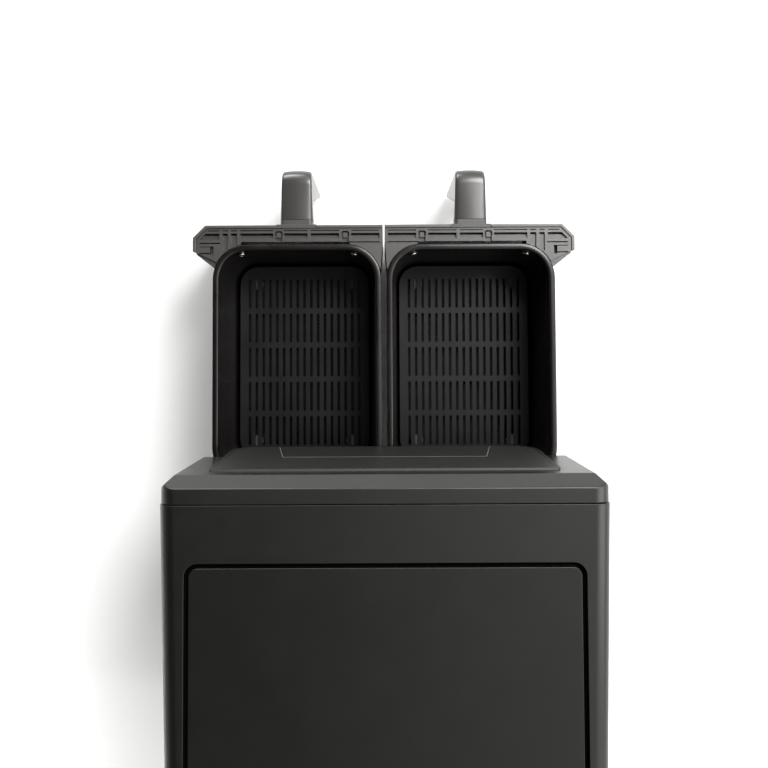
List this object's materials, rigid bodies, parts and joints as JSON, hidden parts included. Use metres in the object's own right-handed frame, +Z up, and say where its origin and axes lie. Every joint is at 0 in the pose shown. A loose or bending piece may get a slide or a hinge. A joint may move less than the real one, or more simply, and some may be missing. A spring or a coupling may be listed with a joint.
{
  "type": "air fryer",
  "caption": "Countertop air fryer with side-by-side pull-out drawers, sloping touch panel, upright handles and rear vents.",
  "frame": {"origin": "on the table, at the centre of the object's bottom outline with both drawers pulled out", "axes": "+Z up, -Y towards the user in front of the drawers, +X to the user's right"},
  "size_m": [0.412, 0.6036, 0.325],
  "materials": {
    "shell_plastic": "moulded charcoal plastic with a fine grain",
    "cover_plastic": "moulded charcoal plastic with a fine grain",
    "bezel_plastic": "moulded charcoal plastic, satin",
    "panel_plastic": "polished black",
    "panel_lens": "polished black touch surface",
    "display_lens": "smoked, polished",
    "circuit_board": "green lacquer",
    "display_block": "black moulded block",
    "inner_frame_plastic": "moulded heat-resistant plastic",
    "base_plastic": "moulded black plastic",
    "foot_rubber": "matte",
    "rear_plastic": "moulded black plastic with a fine grain",
    "inlet_rubber": "matte",
    "screw_steel": "blackened steel",
    "insulation_board": "pressed mineral fibre",
    "wire_sleeve": "braided sleeve",
    "chamber_steel": "aluminised sheet",
    "switch_plastic": "moulded",
    "guard_steel": "stamped sheet",
    "dome_steel": "aluminised sheet",
    "heating_element": "oxidised tube",
    "motor_steel": "zinc plated",
    "shaft_steel": "ground",
    "fan_aluminium": "stamped sheet",
    "fan_plastic": "moulded",
    "pan_coating": "black non-stick coating, semi-gloss",
    "pan_screw_steel": "bright",
    "crisper_coating": "black non-stick coating, semi-gloss",
    "silicone": "silicone rubber",
    "fascia_plastic": "moulded plastic, satin",
    "frame_plastic": "moulded heat-resistant plastic",
    "collar_plastic": "moulded plastic, satin",
    "handle_plastic": "satin soft-touch lacquer"
  },
  "bodies": {
    "root": {"housing_shell": "shell_plastic", "top_cover": "cover_plastic", "front_bezel": "bezel_plastic", "control_panel": "panel_plastic", "control_lens": "panel_lens", "display_window": "display_lens", "control_board": "circuit_board", "display_modules": "display_block", "cavity_frame": "inner_frame_plastic", "base_plate": "base_plastic", "rubber_feet": "foot_rubber", "rear_panel": "rear_plastic", "cord_inlet": "inlet_rubber", "housing_screws": "screw_steel", "centre_insulation": "insulation_board", "power_board": "circuit_board", "board_tray": "base_plastic", "wiring_loom": "wire_sleeve", "guide_rails": "chamber_steel", "exhaust_ducts": "chamber_steel", "motor_brackets": "chamber_steel", "temperature_sensors": "screw_steel", "drawer_switches": "switch_plastic", "fan_guards": "guard_steel", "chamber_right": "chamber_steel", "heater_dome_right": "dome_steel", "heater_coil_right": "heating_element", "motor_right": "motor_steel", "chamber_left": "chamber_steel", "heater_dome_left": "dome_steel", "heater_coil_left": "heating_element", "motor_left": "motor_steel"},
    "fan_rotor_right": {"fan_shaft_right": "shaft_steel", "convection_fan_right": "fan_aluminium", "cooling_fan_right": "fan_plastic"},
    "drawer_right": {"pan_right": "pan_coating", "pan_screws_right": "pan_screw_steel", "crisper_plate_right": "crisper_coating", "crisper_feet_right": "silicone", "drawer_fascia_right": "fascia_plastic", "drawer_frame_right": "frame_plastic", "handle_collar_right": "collar_plastic", "handle_right": "handle_plastic", "handle_screws_right": "screw_steel"},
    "fan_rotor_left": {"fan_shaft_left": "shaft_steel", "convection_fan_left": "fan_aluminium", "cooling_fan_left": "fan_plastic"},
    "drawer_left": {"pan_left": "pan_coating", "pan_screws_left": "pan_screw_steel", "crisper_plate_left": "crisper_coating", "crisper_feet_left": "silicone", "drawer_fascia_left": "fascia_plastic", "drawer_frame_left": "frame_plastic", "handle_collar_left": "collar_plastic", "handle_left": "handle_plastic", "handle_screws_left": "screw_steel"}
  },
  "joints": [
    {"name": "drawer_right_slide", "type": "slide", "parent": "root", "child": "drawer_right", "axis": [0, -1, 0], "range_m": [-0.247, 0.04]},
    {"name": "fan_right_spin", "type": "hinge", "parent": "root", "child": "fan_rotor_right", "pos_m": [0.095, 0.16635, 0.25], "axis": [0, 0, 1], "continuous": true},
    {"name": "drawer_left_slide", "type": "slide", "parent": "root", "child": "drawer_left", "axis": [0, -1, 0], "range_m": [-0.247, 0.04]},
    {"name": "fan_left_spin", "type": "hinge", "parent": "root", "child": "fan_rotor_left", "pos_m": [-0.095, 0.16635, 0.25], "axis": [0, 0, 1], "continuous": true}
  ]
}
